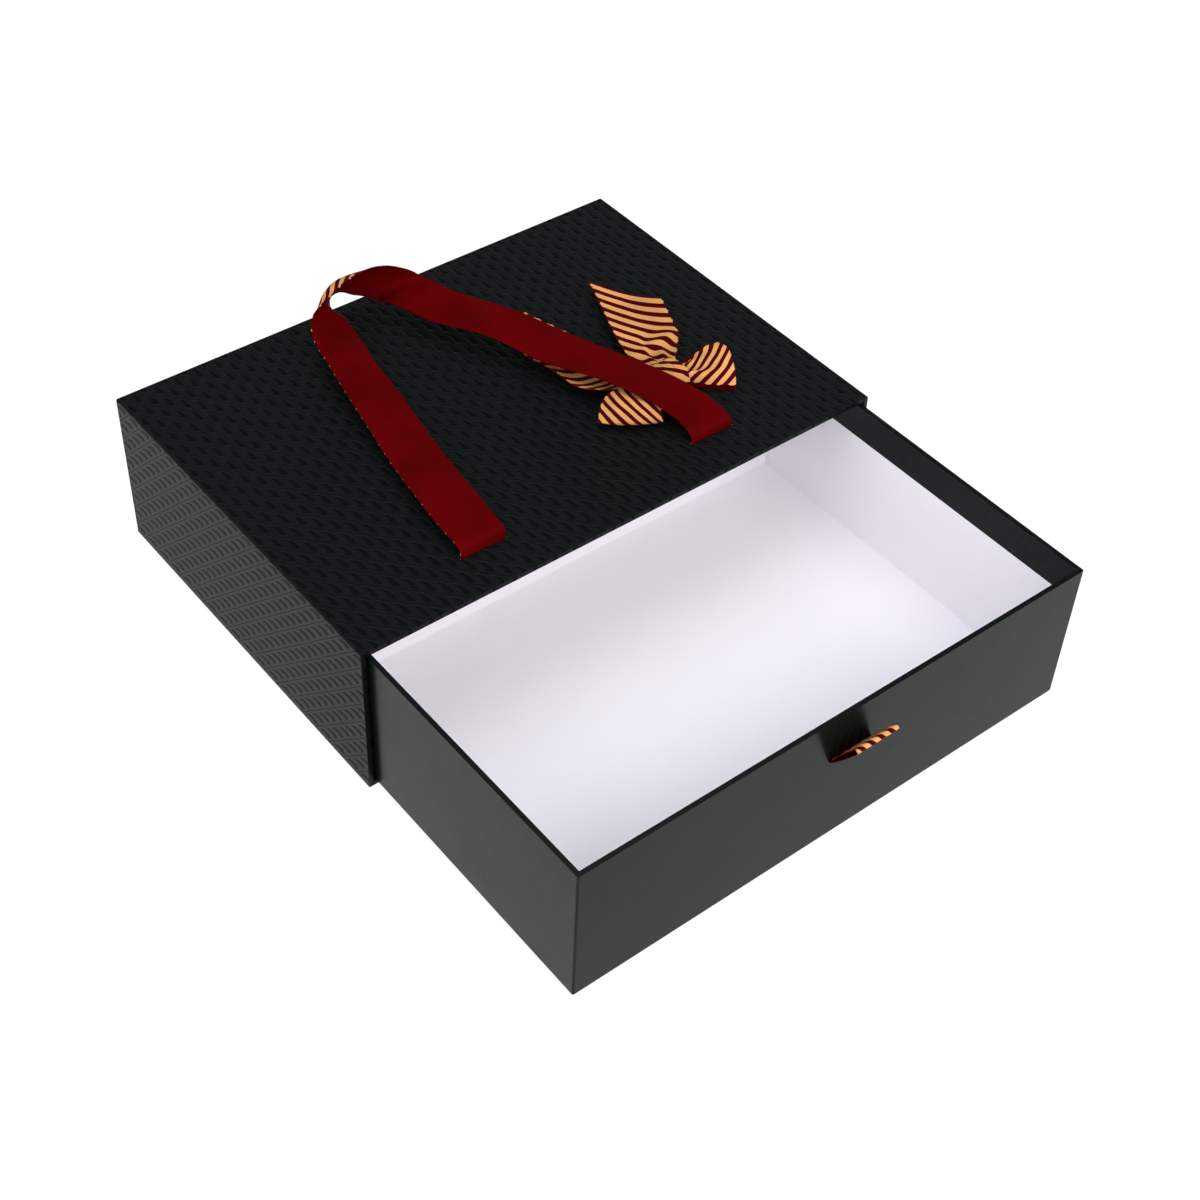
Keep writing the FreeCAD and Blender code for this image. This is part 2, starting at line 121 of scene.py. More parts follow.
def studio():
    """White table in a light tent: a dark flag hangs over the box's far side.

    The black top mirrors the flag, and the upright faces mirror the white table.
    """
    softbox("front", (0.0, -0.85, 0.55), 2.6, 2.0, 40.0, "fffaf6")
    softbox("left", (-0.85, -0.2, 0.55), 2.6, 1.6, 7.0, "fffaf6")
    softbox("overhead", (0.05, 0.15, 1.0), 2.4, 2.0, 21.0, "f8f8ff")
    world = bpy.data.worlds.new("room")
    scene.world = world
    world.use_nodes = True
    tree = world.node_tree
    tree.nodes.clear()
    path = add(tree, "LightPath")
    sky = add(tree, "TexCoord")
    flag = (0.40, 0.52, 0.755)          # the way to the flag's middle
    rim, core = 0.45, 0.92              # cosines from it where the flag starts and is darkest
    bright, dark = 1.15, 0.16           # strength of the tent, and of the flag's middle
    towards = add(tree, "VectorMath", {0: sky.outputs["Generated"], 1: flag},
                  operation="DOT_PRODUCT")
    tent = add(tree, "MapRange", {0: towards.outputs["Value"], 1: rim, 2: core,
                                  3: bright, 4: dark}, interpolation_type="SMOOTHSTEP")
    room = add(tree, "Background", {"Color": srgb("fdfcff"), "Strength": tent.outputs[0]})
    seen = add(tree, "MixShader", {0: path.outputs["Is Camera Ray"], 1: room.outputs[0],
                                   2: add(tree, "Background", {"Color": (1, 1, 1, 1)}).outputs[0]})
    add(tree, "OutputWorld", {"Surface": seen.outputs[0]})

    bpy.ops.object.select_all(action="DESELECT")
    bpy.ops.mesh.primitive_plane_add(size=9.0, location=(0, 0, 0))
    floor = bpy.context.object
    floor.name = "table_top"
    made = bpy.data.materials.new("white_acrylic_sheet")
    made.use_nodes = True
    tree = made.node_tree
    tree.nodes.clear()
    # seen or mirrored it is near white, with the box's shadow; to soft light it is plain white
    path = add(tree, "LightPath")
    straight = add(tree, "Math", {0: path.outputs["Is Camera Ray"],
                                  1: path.outputs["Is Glossy Ray"]}, operation="MAXIMUM")
    straight = add(tree, "Math", {0: straight.outputs[0],
                                  1: path.outputs["Is Transmission Ray"]}, operation="MAXIMUM")
    lit = add(tree, "BsdfDiffuse", {"Color": srgb("f2f2f2")})
    pale = add(tree, "BsdfDiffuse", {"Color": srgb("707070")})
    glow = add(tree, "Emission", {"Color": (1, 1, 1, 1), "Strength": 0.88})
    shown = add(tree, "AddShader", {0: pale.outputs[0], 1: glow.outputs[0]})
    mixed = add(tree, "MixShader", {0: straight.outputs[0], 1: lit.outputs[0],
                                    2: shown.outputs[0]})
    add(tree, "OutputMaterial", {"Surface": mixed.outputs[0]})
    floor.data.materials.append(made)


# --- Papers and board ----------------------------------------------------------------------------

def paper_grain(tree, grain, strength, distance, under=None):
    """Bump with a grain of so many millimetres, on the object's own coordinates.

    A paper's fibres are some 0.03 mm wide, so its grain is drawn coarser, to show.
    """
    spot = add(tree, "TexCoord")
    noise = add(tree, "TexNoise", {"Vector": spot.outputs["Object"], "Scale": 1 / (grain * MM),
                                   "Detail": 3.0, "Roughness": 0.6})
    inputs = {"Height": noise.outputs[0], "Strength": strength, "Distance": distance}
    if under is not None:
        inputs["Normal"] = under.outputs[0]
    return add(tree, "Bump", inputs), noise


def embossed_black_paper():
    """Black art paper, embossed between rollers: slanting bands of short strokes.

    The relief catches the light in rows, and each band is bounded by a fine scored line.
    """
    made, tree, principled = surface("embossed_black_art_paper", {
        "Base Color": srgb("090d0d"), "Roughness": 0.42, "IOR": 1.40,
        "Specular IOR Level": 0.15})
    repeat, row = 11.5, 5.65            # millimetres along the sheet's depth and its girth
    lead = 0.25                         # a scored line's place before the middle, in repeats
    bend = 0.7                          # how sharply a stroke's ends fall back
    stroke_fades = (0.26, 0.42)         # from and to, in repeats from the band's middle
    line_falls = (0.455, 0.485)         # the same for the wall of the scored line
    shallow, deep = 1.0, 3.5            # relief on upright faces and on top, in tenths of a mm
    spot = add(tree, "TexCoord")
    place = add(tree, "SeparateXYZ", {0: spot.outputs["Object"]})
    facing = add(tree, "SeparateXYZ", {0: spot.outputs["Normal"]})
    x, y, z = place.outputs
    off_side = add(tree, "Math", {0: facing.outputs[0], 1: 0.0, 2: 0.5}, operation="COMPARE")
    off_back = add(tree, "Math", {0: facing.outputs[1], 1: 0.0, 2: 0.5}, operation="COMPARE")
    # the sheet runs on from the top down each side, and down the back
    drop = add(tree, "Math", {0: TOP * MM, 1: z}, operation="SUBTRACT")
    beyond = add(tree, "Math", {0: drop.outputs[0], 1: SIDE * MM}, operation="ADD")
    outward = add(tree, "Math", {0: facing.outputs[0]}, operation="SIGN")
    down_side = add(tree, "Math", {0: beyond.outputs[0], 1: outward.outputs[0]},
                    operation="MULTIPLY")
    girth = add(tree, "Mix", {0: off_side.outputs[0], 2: down_side.outputs[0], 3: x},
                data_type="FLOAT")
    down_back = add(tree, "Math", {0: drop.outputs[0], 1: BACK * MM}, operation="ADD")
    depth = add(tree, "Mix", {0: off_back.outputs[0], 2: down_back.outputs[0], 3: y},
                data_type="FLOAT")
    along = add(tree, "Math", {0: depth.outputs[0], 1: 1 / (repeat * MM)},
                operation="MULTIPLY")
    across = add(tree, "Math", {0: girth.outputs[0], 1: 1 / (2 * row * MM)},
                 operation="MULTIPLY")
    band = add(tree, "Math", {0: along.outputs[0], 1: across.outputs[0]}, operation="ADD")
    band = add(tree, "Math", {0: band.outputs[0], 1: lead}, operation="ADD")
    band = add(tree, "Math", {0: band.outputs[0]}, operation="FRACT")
    from_middle = add(tree, "Math", {0: band.outputs[0], 1: 0.5}, operation="SUBTRACT")
    away = add(tree, "Math", {0: from_middle.outputs[0]}, operation="ABSOLUTE")
    # strokes: rows of short arches across the band, which end short of the scored lines
    arch = add(tree, "Math", {0: away.outputs[0], 1: away.outputs[0]}, operation="MULTIPLY")
    bent = add(tree, "Math", {0: arch.outputs[0], 1: bend, 2: across.outputs[0]},
               operation="MULTIPLY_ADD")
    wave = add(tree, "Math", {0: bent.outputs[0], 1: 4 * math.pi}, operation="MULTIPLY")
    wave = add(tree, "Math", {0: wave.outputs[0]}, operation="COSINE")
    pressed = add(tree, "MapRange", {0: wave.outputs[0], 1: -0.5, 2: 0.9, 3: 0.0, 4: 1.0},
                  interpolation_type="SMOOTHSTEP")
    window = add(tree, "MapRange", {0: away.outputs[0], 1: stroke_fades[0],
                                    2: stroke_fades[1], 3: 1.0, 4: 0.0},
                 interpolation_type="SMOOTHSTEP")
    stroke = add(tree, "Math", {0: pressed.outputs[0], 1: window.outputs[0]},
                 operation="MULTIPLY")
    line = add(tree, "MapRange", {0: away.outputs[0], 1: line_falls[0],
                                  2: line_falls[1], 3: 0.0, 4: 1.0},
               interpolation_type="SMOOTHSTEP")
    low = add(tree, "Math", {0: line.outputs[0], 1: stroke.outputs[0]}, operation="MAXIMUM")
    press = add(tree, "MapRange", {0: facing.outputs[2], 1: 0.5, 2: 0.9,
                                   3: -shallow, 4: -deep})
    height = add(tree, "Math", {0: low.outputs[0], 1: press.outputs[0]}, operation="MULTIPLY")
    relief = add(tree, "Bump", {"Height": height.outputs[0], "Strength": 1.0,
                                "Distance": 0.10 * MM})
    grain, _ = paper_grain(tree, 0.385, 0.35, 0.02 * MM, relief)
    tree.links.new(grain.outputs[0], principled.inputs["Normal"])
    # painted shade: the pressed strokes and scored lines are given less reflection, so they darken
    # as the relief's shading would
    painted_shade_gloss = add(tree, "MapRange", {0: low.outputs[0], 1: 0.0, 2: 1.0, 3: 0.155, 4: 0.03})
    tree.links.new(painted_shade_gloss.outputs[0], principled.inputs["Specular IOR Level"])
    return made


def coated_black_paper():
    """Black coated paper, calendered: a soft sheen, and fibres that just show through.

    It mirrors the table a little, and its sheen wavers every few centimetres.
    """
    made, tree, principled = surface("calendered_black_paper", {
        "Base Color": srgb("09100e"), "Roughness": 0.26, "IOR": 1.40,
        "Specular IOR Level": 0.155})
    fine, _ = paper_grain(tree, 0.667, 0.25, 0.02 * MM)
    broad, waves = paper_grain(tree, 26.3, 0.30, 0.25 * MM, fine)
    tree.links.new(broad.outputs[0], principled.inputs["Normal"])
    rough = add(tree, "MapRange", {0: waves.outputs[0], 1: 0.3, 2: 0.7, 3: 0.22, 4: 0.30})
    tree.links.new(rough.outputs[0], principled.inputs["Roughness"])
    return made


def plain_paper(name, colour, other, roughness, grain):
    """Uncoated paper: matte, with fibre bump and a faint cloudiness in its colour.

    The grain is in millimetres.
    """
    cloud_size = 16.7                   # millimetres
    made, tree, principled = surface(name, {"Roughness": roughness, "IOR": 1.45})
    fine, _ = paper_grain(tree, grain, 0.35, 0.03 * MM)
    tree.links.new(fine.outputs[0], principled.inputs["Normal"])
    spot = add(tree, "TexCoord")
    cloud = add(tree, "TexNoise", {"Vector": spot.outputs["Object"],
                                   "Scale": 1 / (cloud_size * MM), "Detail": 4.0})
    tint = add(tree, "Mix", {0: cloud.outputs[0], 6: srgb(colour), 7: srgb(other)},
               data_type="RGBA")
    tree.links.new(tint.outputs[2], principled.inputs["Base Color"])
    return made


def greyboard():
    """Recycled greyboard: matte grey pulp with darker flecks."""
    made, tree, principled = surface("recycled_greyboard", {"Roughness": 0.9})
    fine, noise = paper_grain(tree, 1.11, 0.6, 0.08 * MM)
    tree.links.new(fine.outputs[0], principled.inputs["Normal"])
    fleck = add(tree, "MapRange", {0: noise.outputs[0], 1: 0.35, 2: 0.65})
    tint = add(tree, "Mix", {0: fleck.outputs[0], 6: srgb("8d877c"), 7: srgb("a9a396")},
               data_type="RGBA")
    tree.links.new(tint.outputs[2], principled.inputs["Base Color"])
    return made


def hot_glue():
    """Hot-melt glue: waxy, slightly clouded."""
    made, tree, principled = surface("hot_melt_glue", {
        "Roughness": 0.35, "IOR": 1.48, "Subsurface Weight": 0.2, "Subsurface Scale": 0.001})
    lumps, noise = paper_grain(tree, 3.33, 0.5, 0.3 * MM)
    tree.links.new(lumps.outputs[0], principled.inputs["Normal"])
    tint = add(tree, "Mix", {0: noise.outputs[0], 6: srgb("e8dfc6"), 7: srgb("d8cba6")},
               data_type="RGBA")
    tree.links.new(tint.outputs[2], principled.inputs["Base Color"])
    return made


# --- Ribbon cloth --------------------------------------------------------------------------------

def grosgrain(name, width=None, pitch=0.0, slant=0.0):
    """Polyester grosgrain: weft ribs across; a width in millimetres gives the printed face,
    whose stripes lie a pitch apart and slant so many degrees from the length.

    The cloth's own UV map is in metres: length along the ribbon, then place across it.
    """
    made, tree, principled = surface(name, {
        "Roughness": 0.60, "IOR": 1.46, "Specular IOR Level": 0.015})
    cloth = add(tree, "UVMap", uv_map="cloth")
    place = add(tree, "SeparateXYZ", {0: cloth.outputs[0]})
    length, across = place.outputs[0], place.outputs[1]
    rib_gap, thread_gap = 1.1, 0.45     # millimetres, drawn a little coarser than real ones
    # the second size is the spacing of the waves of painted light and shade
    streak, shade_wave = 0.714, 26.3          # millimetres; filaments are finer, and wouldn't show
    rib = add(tree, "Math", {0: length, 1: 2 * math.pi / (rib_gap * MM)}, operation="MULTIPLY")
    rib = add(tree, "Math", {0: rib.outputs[0]}, operation="SINE")
    warp = add(tree, "Math", {0: across, 1: 2 * math.pi / (thread_gap * MM)},
               operation="MULTIPLY")
    warp = add(tree, "Math", {0: warp.outputs[0]}, operation="SINE")
    weave = add(tree, "Math", {0: warp.outputs[0], 1: 0.25, 2: rib.outputs[0]},
                operation="MULTIPLY_ADD")
    bump = add(tree, "Bump", {"Height": weave.outputs[0], "Strength": 0.5,
                              "Distance": 0.05 * MM})
    tree.links.new(bump.outputs[0], principled.inputs["Normal"])
    fibre = add(tree, "TexNoise", {"Vector": cloth.outputs[0], "Scale": 1 / (streak * MM),
                                   "Detail": 2.0})
    if width:
        tilt = math.radians(slant)
        stripe = add(tree, "Math", {0: length, 1: math.sin(tilt) / (pitch * MM)},
                     operation="MULTIPLY")
        stripe = add(tree, "Math", {0: across, 1: -math.cos(tilt) / (pitch * MM),
                                    2: stripe.outputs[0]}, operation="MULTIPLY_ADD")
        stripe = add(tree, "Math", {0: stripe.outputs[0]}, operation="FRACT")
        off = add(tree, "Math", {0: stripe.outputs[0], 1: 0.5}, operation="SUBTRACT")
        off = add(tree, "Math", {0: off.outputs[0]}, operation="ABSOLUTE")
        # half of each pitch is gold, and it narrows to dots on the selvedge's last 0.4 mm
        out = add(tree, "Math", {0: across}, operation="ABSOLUTE")
        half = add(tree, "MapRange", {0: out.outputs[0], 1: (width / 2 - 0.5) * MM,
                                      2: (width / 2 - 0.4) * MM, 3: 0.25, 4: 0.07})
        past = add(tree, "Math", {0: off.outputs[0], 1: half.outputs[0]}, operation="SUBTRACT")
        gold = add(tree, "MapRange", {0: past.outputs[0], 1: 0.0, 2: 0.02, 3: 1.0, 4: 0.0})
        colour = add(tree, "Mix", {0: gold.outputs[0], 6: srgb("3f0306"), 7: srgb("c68f57")},
                     data_type="RGBA").outputs[2]
    else:
        colour = add(tree, "Mix", {0: fibre.outputs[0], 6: srgb("490001"), 7: srgb("560205")},
                     data_type="RGBA").outputs[2]
    # painted light and shade: the colour turns lighter and darker every few centimetres, for the
    # ribbon's gentle undulation
    broad = add(tree, "TexNoise", {"Vector": cloth.outputs[0], "Scale": 1 / (shade_wave * MM),
                                   "Detail": 1.0})
    painted_shade_waves = add(tree, "MapRange", {0: broad.outputs[0], 1: 0.32, 2: 0.68, 3: 0.84, 4: 1.14})
    light = add(tree, "MapRange", {0: fibre.outputs[0], 1: 0.3, 2: 0.7, 3: 0.93, 4: 1.05})
    value = add(tree, "Math", {0: light.outputs[0], 1: painted_shade_waves.outputs[0]}, operation="MULTIPLY")
    # the fibre streaks' tone and the painted light and shade scale the colour's brightness
    fibre_tone_and_painted_shade = add(tree, "HueSaturation", {"Color": colour, "Value": value.outputs[0]})
    tree.links.new(fibre_tone_and_painted_shade.outputs[0], principled.inputs["Base Color"])
    return made


def flow(rows, steps):
    """Rows of numbers on a smooth line through the given ones, with so many steps in each gap.

    The line is made of cubic pieces, whose slopes at the given rows follow both their gaps.
    """
    count = len(rows)
    gaps = [max((Vector(b[:3]) - Vector(a[:3])).length, 1e-3) for a, b in zip(rows, rows[1:])]

    def slope(i, k):
        if i == 0:
            return (rows[1][k] - rows[0][k]) / gaps[0]
        if i == count - 1:
            return (rows[-1][k] - rows[-2][k]) / gaps[-1]
        before = (rows[i][k] - rows[i - 1][k]) / gaps[i - 1]
        after = (rows[i + 1][k] - rows[i][k]) / gaps[i]
        return (before * gaps[i] + after * gaps[i - 1]) / (gaps[i - 1] + gaps[i])

    out = []
    for i in range(count - 1):
        last = i == count - 2           # the last gap also gives its far row
        for step in range(steps[i] + last):
            t = step / steps[i]
            here, leave = 2 * t ** 3 - 3 * t ** 2 + 1, t ** 3 - 2 * t ** 2 + t
            there, arrive = -2 * t ** 3 + 3 * t ** 2, t ** 3 - t ** 2
            out.append([here * rows[i][k] + leave * gaps[i] * slope(i, k)
                        + there * rows[i + 1][k] + arrive * gaps[i] * slope(i + 1, k)
                        for k in range(len(rows[i]))])
    return out


def woven(name, body, net, faces, ends=(0.0, 0.0), side=1.0, closed=False, fine=FINE,
          gather=1.0, wide=None):
    """A ribbon through a net of points in millimetres, as a thin closed cloth.

    Each row of the net runs across, left edge first; faces are the upper and lower materials,
    and the edges take the lower one. The UV map holds the length along and the place across,
    in metres: ends are the length at the first row's left and right edges, and side is -1
    where the print is underneath. Small pleats draw the print in by the gather; wide is the
    net's own width in millimetres, where it isn't its ribbon's.
    """
    cells, weld = 4, 0.02               # steps across each gap; points this near are joined
    columns = [list(column) for column in zip(*net)]
    middle = columns[len(columns) // 2]
    steps = [max(2, math.ceil((Vector(b) - Vector(a)).length / fine))
             for a, b in zip(middle, middle[1:])]
    columns = [flow(column, steps) for column in columns]
    rows = [flow(list(row), [cells] * (len(columns) - 1)) for row in zip(*columns)]
    across = len(rows[0]) - 1
    run = [[0.0] * (across + 1) for row in rows]
    for k in range(across + 1):
        run[0][k] = ends[0] + (ends[1] - ends[0]) * k / across
        for i in range(1, len(rows)):
            run[i][k] = run[i - 1][k] + (Vector(rows[i][k]) - Vector(rows[i - 1][k])).length
    bpy.ops.object.select_all(action="DESELECT")
    bpy.ops.mesh.primitive_grid_add(x_subdivisions=len(rows) - 1, y_subdivisions=across,
                                    size=1.0)
    piece = bpy.context.object
    piece.name = name
    piece.data.name = name
    width = gather * (wide or (HANDLE_WIDTH if body != "bow" else BOW_WIDTH))
    place = {}
    for vertex in piece.data.vertices:
        i = round((vertex.co.x + 0.5) * (len(rows) - 1))
        k = round((0.5 - vertex.co.y) * across)
        place[vertex.index] = (run[i][k] * gather * MM, side * (0.5 - k / across) * width * MM)
        vertex.co = Vector(rows[i][k]) * MM
    layer = piece.data.uv_layers[0]
    layer.name = "cloth"
    for loop in piece.data.loops:
        layer.data[loop.index].uv = place[loop.vertex_index]
    if closed:
        bpy.ops.object.mode_set(mode="EDIT")
        bpy.ops.mesh.select_all(action="SELECT")
        bpy.ops.mesh.remove_doubles(threshold=weld * MM)
        bpy.ops.object.mode_set(mode="OBJECT")
    for face in faces:
        piece.data.materials.append(face)
    thick = piece.modifiers.new("cloth", "SOLIDIFY")
    thick.thickness = CLOTH * MM
    thick.offset = 0.0
    thick.material_offset = 1
    thick.material_offset_rim = 1
    bpy.ops.object.modifier_apply(modifier=thick.name)
    bpy.ops.object.shade_smooth_by_angle(angle=math.radians(50))
    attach(piece, "sleeve" if body == "bow" else body)
    return piece


def banked_net(rows, width):
    """A net across a centre line of x, y, z, bank and crown; the bank raises the left edge."""
    spots = [Vector(row[:3]) for row in rows]
    net = []
    for i, row in enumerate(rows):
        ahead = spots[min(i + 1, len(spots) - 1)] - spots[max(i - 1, 0)]
        ahead.z = 0
        ahead.normalize()
        bank = math.radians(row[3])
        left = Vector((-ahead.y, ahead.x, 0)) * math.cos(bank) + Vector((0, 0, math.sin(bank)))
        up = ahead.cross(left)
        net.append([spots[i] + left * (width * share) + up * (row[4] * (1 - 4 * share * share))
                    for share in (0.5, 0.3, 0.0, -0.25, -0.5)])
    return net


def edged_net(rows):
    """A net between an outer and an inner edge, each x, y, z; a crown below nought bulges out."""
    net = []
    for i, (outer, inner, crown) in enumerate(rows):
        a, b = Vector(outer), Vector(inner)
        before, after = rows[max(i - 1, 0)], rows[min(i + 1, len(rows) - 1)]
        ahead = Vector(after[0]) + Vector(after[1]) - Vector(before[0]) - Vector(before[1])
        up = ahead.cross(a - b).normalized()
        net.append([a.lerp(b, share) + up * (crown * bulge) for share, bulge in
                    ((0.0, 0.0), (0.2, 0.9), (0.5, 0.9), (0.75, 0.4), (1.0, 0.0))])
    return net


def handle():
    """The carrying handle: up out of the left slit, back, round on edge, and home."""
    left = [
        (0, 0.3, 0.2, 0, 0), (0, 0.5, 1.9, 0, 0), (0, 0.8, 3.4, 0, 0), (0, 1.6, 4.8, 0, 0),
        (0, 3.2, 5.7, 0, 0.1), (0, 7, 6.4, -1, 0.2), (0.3, 15, 7.2, -3, 0.3),
        (1.5, 30, 8.5, -2, 0.4), (6.5, 61, 6.7, 0, 0.4), (12.3, 92, 7, 5, 0.4),
        (18, 123, 7.2, 10, 0.4), (22, 143, 7, 15, 0.4),
    ]
    turn = [
        ((-55.5, 157, 10), (-31.5, 150, 3.5), 0.0),
        ((-53.3, 164.5, 12), (-30, 158.5, 3), -1.5),
        ((-49.5, 170, 17), (-28.5, 166.5, 3.4), -4.0),
        ((-43, 171.5, 21.3), (-28, 176.5, 5.0), -5.0),
        ((-35.5, 171.5, 25), (-30, 185, 6.8), -4.8),
        ((-28.3, 172.2, 28.2), (-27.5, 188, 9.5), -3.8),
        ((-20.5, 173, 29.2), (-22.5, 188, 10.5), -2.6),
        ((-12, 173.5, 29.5), (-16, 185, 8), -1.8),
        ((-3.5, 172.5, 28), (-9, 182, 5.4), -1.4),
        ((4.5, 171.3, 24.3), (-6.5, 178.5, 4.6), -0.8),
        ((12, 170, 19.2), (-8, 173.5, 7), -0.4),
        ((16, 168, 15.5), (-8, 167, 11), 0.2),
        ((18.5, 162, 15), (-6, 158, 12.5), 0.4),
    ]
    right = [
        (-57, 147, 13, 5, 0.4), (-42, 116, 14.4, 1, 0.4), (-28.6, 85.5, 11.2, 3, 0.3),
        (-15.2, 54.5, 11.6, -5, 0.3), (-9.2, 39.5, 11, -4, 0.3), (-3.5, 23.5, 9.2, -3, 0.3),
        (-0.5, 11, 6.8, -1, 0.2), (0, 4.5, 5.2, 0, 0.1), (0, 1.9, 4.0, 0, 0),
        (0, 0.9, 2.8, 0, 0), (0, 0.5, 1.5, 0, 0), (0, 0.3, 0.2, 0, 0),
    ]
    first = [(x - SLIT_X, y + SLIT_Y, TOP + z, bank, crown) for x, y, z, bank, crown in left]
    last = [(x + SLIT_X, y + SLIT_Y, TOP + z, bank, crown) for x, y, z, bank, crown in right]
    shift = Vector((0, SLIT_Y, TOP))
    middle = [(shift + Vector(outer), shift + Vector(inner), crown)
              for outer, inner, crown in turn]
    net = (banked_net(first, HANDLE_WIDTH) + edged_net(middle)
           + banked_net(last, HANDLE_WIDTH))
    piece = woven("handle_ribbon_cloth", "handle", net, (maroon, stripes), side=-1.0)
    # the print is left off the first millimetre over the slits, and off all that doesn't
    # look down past the turn's middle, where it would show on the cut edges
    over_slit, past_middle, down = TOP + 1, -20.0, -0.5
    for face in piece.data.polygons:
        on_edge = face.center.x > past_middle * MM and face.normal.z > down
        if face.center.z < over_slit * MM or on_edge:
            face.material_index = 0
    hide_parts("handle_ribbon")


def handle_end(side, name):
    """The handle's end on one side: down through its slit, and glued back under the board."""
    path = [(0.0, TOP + 0.1), (0.0, TOP - 1.4), (0.0, TOP - 2.0), (0.35, TOP - 2.45),
            (1.2, UNDER_BOARD), (6, UNDER_BOARD), (19.5, UNDER_BOARD)]
    low, high = side * SLIT_X - HANDLE_WIDTH / 2, side * SLIT_X + HANDLE_WIDTH / 2
    net = [[(x, SLIT_Y + y, z) for x in (low, (low + high) / 2, high)] for y, z in path]
    piece = woven("handle_end_cloth_" + name, "sleeve", net, (stripes, maroon), fine=1.0)
    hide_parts("handle_end_" + name)


def on_knot(net):
    """Moves a net from the knot's own axes to its place on the sleeve."""
    return [[Vector(point) + KNOT for point in row] for row in net]


def long_tail():
    """The long tail: a gathered root, a crumpled crease, and a cupped end cut on the slant."""
    net = [
        [(12.4, 84.2, 5.5), (16.9, 78.6, 3.8), (21, 73.2, 2.6), (25.3, 67.4, 1.9),
         (29.5, 62, 1.9), (33.1, 57.2, 2.4), (36.7, 52.9, 3)],
        [(6.6, 68.4, 5.5), (12.3, 66.2, 3.8), (17.6, 63.4, 2.6), (22.4, 60.1, 1.9),
         (26.6, 56, 1.9), (30.4, 51.5, 2.4), (34.1, 46.8, 3)],
        [(-1.2, 49.7, 5.5), (5.3, 49.4, 3.8), (11.4, 48.6, 2.6), (17, 47.3, 1.9),
         (22.1, 45.2, 1.9), (26.7, 42.7, 2.4), (31.3, 40.1, 3)],
        [(-6.5, 35.6, 5.5), (0.4, 36.5, 3.8), (6.9, 36.9, 2.6), (12.9, 36.8, 1.9),
         (18.4, 36, 1.9), (23.5, 34.8, 2.4), (28.5, 33.4, 3)],
        [(-9.2, 26.6, 5), (-4.5, 25.5, 4.5), (0, 26, 4.2), (5, 28, 3), (11, 28.5, 3.4),
         (19, 28.5, 4), (26.5, 29, 3)],
        [(-9.6, 23.2, 4.6), (-6, 21.4, 4.6), (-2, 21.1, 5.2), (3.3, 23.2, 4.2),
         (10, 23.5, 4.8), (18, 24.4, 5), (25.3, 25.6, 3)],
        [(-9, 19.5, 3), (-5.5, 18.6, 2), (-2, 18.4, 4), (2.5, 19.5, 2), (8, 19.6, 4),
         (14, 19.6, 2.4), (20.5, 20, 2)],
        [(-8, 14.5, 3.4), (-5, 14.2, 2.6), (-2, 13.8, 5.4), (1.5, 14, 2.6), (5.5, 13.8, 5.2),
         (9.5, 13.2, 2.6), (13.5, 12.6, 2.4)],
        [(-6.5, 8, 4.2), (-4.2, 7.8, 3.8), (-2, 7.5, 5.2), (0.5, 7.2, 3.8), (3, 7, 5),
         (5, 6.6, 3.8), (7, 6, 3.4)],
        [(-4.5, 0, 3.4), (-3, 0, 3.2), (-1.5, 0, 3.8), (0, 0, 3.2), (1.5, 0, 3.8),
         (3, 0, 3.2), (4.5, 0, 3.2)],
    ]
    net = [[row[k] for k in range(6, -1, -1)] for row in net]
    piece = woven("bow_tail_long", "bow", on_knot(net), (wide_stripes, maroon), ends=(14.4, -14.4))
    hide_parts("bow_tails")


def short_tail():
    """The short tail: it bulges out of the knot and runs back under the handle."""
    net = [
        [(-2, -3, 3.2), (-2.5, -1, 4), (-3, 1, 3.4), (-3.5, 3, 4), (-4, 5, 3.4)],
        [(-15.4, 0, 5), (-13, 5, 4.6), (-12, 8, 3), (-10, 11, 4.2), (-8, 13, 3)],
        [(-35.8, 5.3, 7), (-30, 12, 3.4), (-24, 17, 3), (-19, 21, 3.2), (-13, 24, 2.8)],
        [(-47, 14.6, 7.5), (-39.5, 21, 3.2), (-31, 26, 2.6), (-24, 29, 3), (-17.5, 31.5, 2.8)],
        [(-48.6, 33.7, 6.5), (-41.5, 38.5, 3), (-33, 42, 2.6), (-26, 45, 3), (-19, 46.5, 3)],
        [(-51.8, 53.6, 5), (-46, 62, 2.8), (-40.5, 69.5, 2.6), (-34.5, 77, 3),
         (-29, 84, 3.4)],
    ]
    piece = woven("bow_tail_short", "bow", on_knot(net), (wide_stripes, maroon), ends=(-15, 15))


